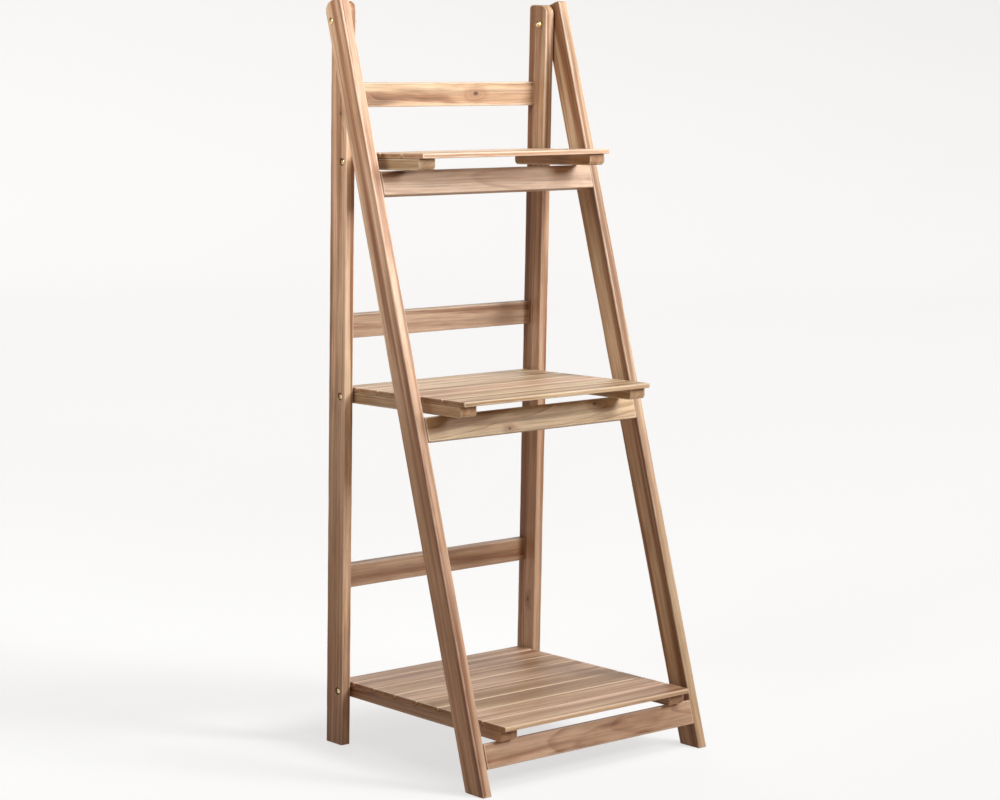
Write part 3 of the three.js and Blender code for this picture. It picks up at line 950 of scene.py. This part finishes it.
def make_hinge_screw(node, side, turned, material):
    """A pointed screw with a low round head, its crossed slots turned by the given degrees."""
    length = span(node) - SCREW_HEAD_HEIGHT
    profile = [(0, -length), (SCREW_SHANK_RADIUS, -length + SCREW_TIP), (SCREW_SHANK_RADIUS, 0)]
    profile += domed_head(SCREW_HEAD_RADIUS, SCREW_HEAD_HEIGHT, SCREW_RIM_HEIGHT, SCREW_DOME_STEP)
    seat = outer_face(node, side) - side * SCREW_HEAD_HEIGHT
    slots = [slot_bar(turned), slot_bar(turned + 90)]
    make_hardware(node, revolved(profile, 56), side, seat, slots, material)


def make_hinge_screws(material):
    for name in SHELVES:
        turned = 25 + 13 * len(name)  # how far round the screws happened to stop
        for side_name, side in SIDES.items():
            make_hinge_screw(f"shelf_{name}_hinge_screw_{side_name}", side, turned, material)


# ---- Stage ----
# The camera stands AZIMUTH round from the front, left of it where that is negative, and ELEVATION
# above the horizon, and looks at TARGET.
AZIMUTH = math.radians(-38.577)
ELEVATION = math.radians(6.696)
ROLL = math.radians(-0.777)
DISTANCE = 3.719
TARGET = Vector((0.0863, 0.1215, 0.4939))
LENS_MM = 88.72

FLOOR_RADIUS = 9.0
WALL_BEND = 3.2
FLOOR_TONES = ((0.83, 0.85, 0.87), (0.87, 0.89, 0.91))
FLOOR_GLOW = (0.99, 0.99, 0.985, 1)
GLOW_STRENGTH = 1.12
GLOW_SHARE = 0.6
BOUNCE_TONE = (0.34, 0.22, 0.13, 1)
WORLD_TONE = (1.0, 0.80, 0.62, 1)
WORLD_STRENGTH = 0.13


def floor_material():
    """Pale and even where it is seen directly or mirrored, but dull to the light that bounces off it
    onto the object."""
    material, g = new_material("floor")
    place = g.node("ShaderNodeTexCoord").outputs["Object"]
    cloud = g.noise(g.vector("MULTIPLY", place, (0.8, 0.8, 0.8)), 2.0, 0.5)
    painted = g.node("ShaderNodeBsdfDiffuse", {"Color": g.mix(cloud, *FLOOR_TONES)})
    glow = g.node("ShaderNodeEmission", {"Color": FLOOR_GLOW, "Strength": GLOW_STRENGTH})
    pale = g.node("ShaderNodeMixShader", {0: GLOW_SHARE, 1: painted.outputs[0], 2: glow.outputs[0]})
    dull = g.node("ShaderNodeBsdfDiffuse", {"Color": BOUNCE_TONE})
    bounced = g.node("ShaderNodeLightPath").outputs["Is Diffuse Ray"]
    surface = g.node("ShaderNodeMixShader", {0: bounced, 1: pale.outputs[0], 2: dull.outputs[0]})
    g.node("ShaderNodeOutputMaterial", {"Surface": surface.outputs[0]})
    return material


def make_floor():
    """A pale floor that curves up into a low wall far round the object."""
    profile = [(0, 0), (FLOOR_RADIUS / 2, 0)]
    profile += arc((FLOOR_RADIUS, WALL_BEND), WALL_BEND, -90, 0, 16)
    mesh = revolved(profile, 96)
    for face in mesh.faces:
        face.smooth = True
    floor = to_object("floor", mesh)
    floor.data.materials.append(floor_material())


def add_light(kind, name, power, colour, place, target=(0, 0, 0), **settings):
    data = bpy.data.lights.new(name, kind)
    data.energy = power
    data.color = colour
    for key, value in settings.items():
        setattr(data, key, value)
    light = bpy.data.objects.new(name, data)
    light.visible_camera = False
    light.location = place
    light.rotation_mode = "QUATERNION"
    light.rotation_quaternion = (Vector(target) - Vector(place)).to_track_quat("-Z", "Y")
    bpy.context.scene.collection.objects.link(light)


def make_lights():
    """Soft suns from the front right, overhead and behind, and soft boxes aimed at the top."""
    add_light(
        "SUN", "key", power=1.28, colour=(1.0, 0.995, 0.99), place=(0.42, -0.70, 0.56),
        angle=math.radians(16),
    )
    add_light(
        "SUN", "overhead", power=1.22, colour=(1.0, 0.98, 0.96), place=(0.15, -0.35, 0.92),
        angle=math.radians(40),
    )
    add_light(
        "SUN", "behind", power=0.85, colour=(1.0, 0.97, 0.93), place=(0.50, 0.82, 0.28),
        angle=math.radians(40),
    )
    add_light(
        "AREA", "upper_front", power=6.6, colour=(0.92, 0.97, 1.0), place=(1.1, -2.2, 1.7),
        target=(0.0, 0.05, 1.12), size=0.9, spread=math.radians(45),
    )
    add_light(
        "AREA", "upper_left", power=1.15, colour=(0.92, 0.97, 1.0), place=(-1.15, -0.2, 1.45),
        target=(-0.2, 0.1, 1.0), size=0.5, spread=math.radians(50),
    )


def make_world():
    """A dim warm sky, and plain colours with no film-like curve."""
    world = bpy.data.worlds.new("studio")
    world.use_nodes = True
    background = world.node_tree.nodes["Background"]
    background.inputs["Color"].default_value = WORLD_TONE
    background.inputs["Strength"].default_value = WORLD_STRENGTH
    bpy.context.scene.world = world
    bpy.context.scene.view_settings.view_transform = "Standard"


def make_camera():
    level_way = Vector((math.sin(AZIMUTH), -math.cos(AZIMUTH), 0))
    back = level_way * math.cos(ELEVATION) + Z_AXIS * math.sin(ELEVATION)
    level = Z_AXIS.cross(back).normalized()
    upright = back.cross(level)
    right = level * math.cos(ROLL) + upright * math.sin(ROLL)
    up = upright * math.cos(ROLL) - level * math.sin(ROLL)
    turn = Matrix((right, up, back)).transposed().to_4x4()
    data = bpy.data.cameras.new("camera")
    data.lens = LENS_MM
    camera = bpy.data.objects.new("camera", data)
    camera.matrix_world = Matrix.Translation(TARGET + back * DISTANCE) @ turn
    bpy.context.scene.collection.objects.link(camera)
    bpy.context.scene.camera = camera


make_camera()
make_floor()
make_lights()
make_world()

leg_wood = wood_material(
    "leg_wood", ring_spacing=8.5 * MM, pith=(55 * MM, 20 * MM), tilt=0.03, warp=14 * MM,
    streaks=0.95, flames=0.45, knots=0.10,
)
rail_wood = wood_material(
    "rail_wood", ring_spacing=9 * MM, pith=(12 * MM, 34 * MM), tilt=0.12, warp=26 * MM,
    streaks=0.70, flames=1.30, knots=0.40,
)
slat_wood = wood_material(
    "slat_wood", ring_spacing=7 * MM, pith=(32 * MM, 22 * MM), tilt=0.04, warp=13 * MM,
    streaks=0.60, flames=0.35, knots=0.04,
)
batten_wood = wood_material(
    "batten_wood", ring_spacing=7 * MM, pith=(30 * MM, 30 * MM), tilt=0.05, warp=16 * MM,
    streaks=0.70, flames=0.55, knots=0.15, tone=0.97,
)
brass = brass_material()

make_legs(leg_wood)
make_rails(rail_wood)
make_shelves(slat_wood, batten_wood)
make_pivot_hardware(brass)
make_hinge_screws(brass)

dowel_wood = dowel_material()
for name, node in frame["nodes"].items():
    if "dowel" in name:
        node.data.materials.clear()
        node.data.materials.append(dowel_wood)
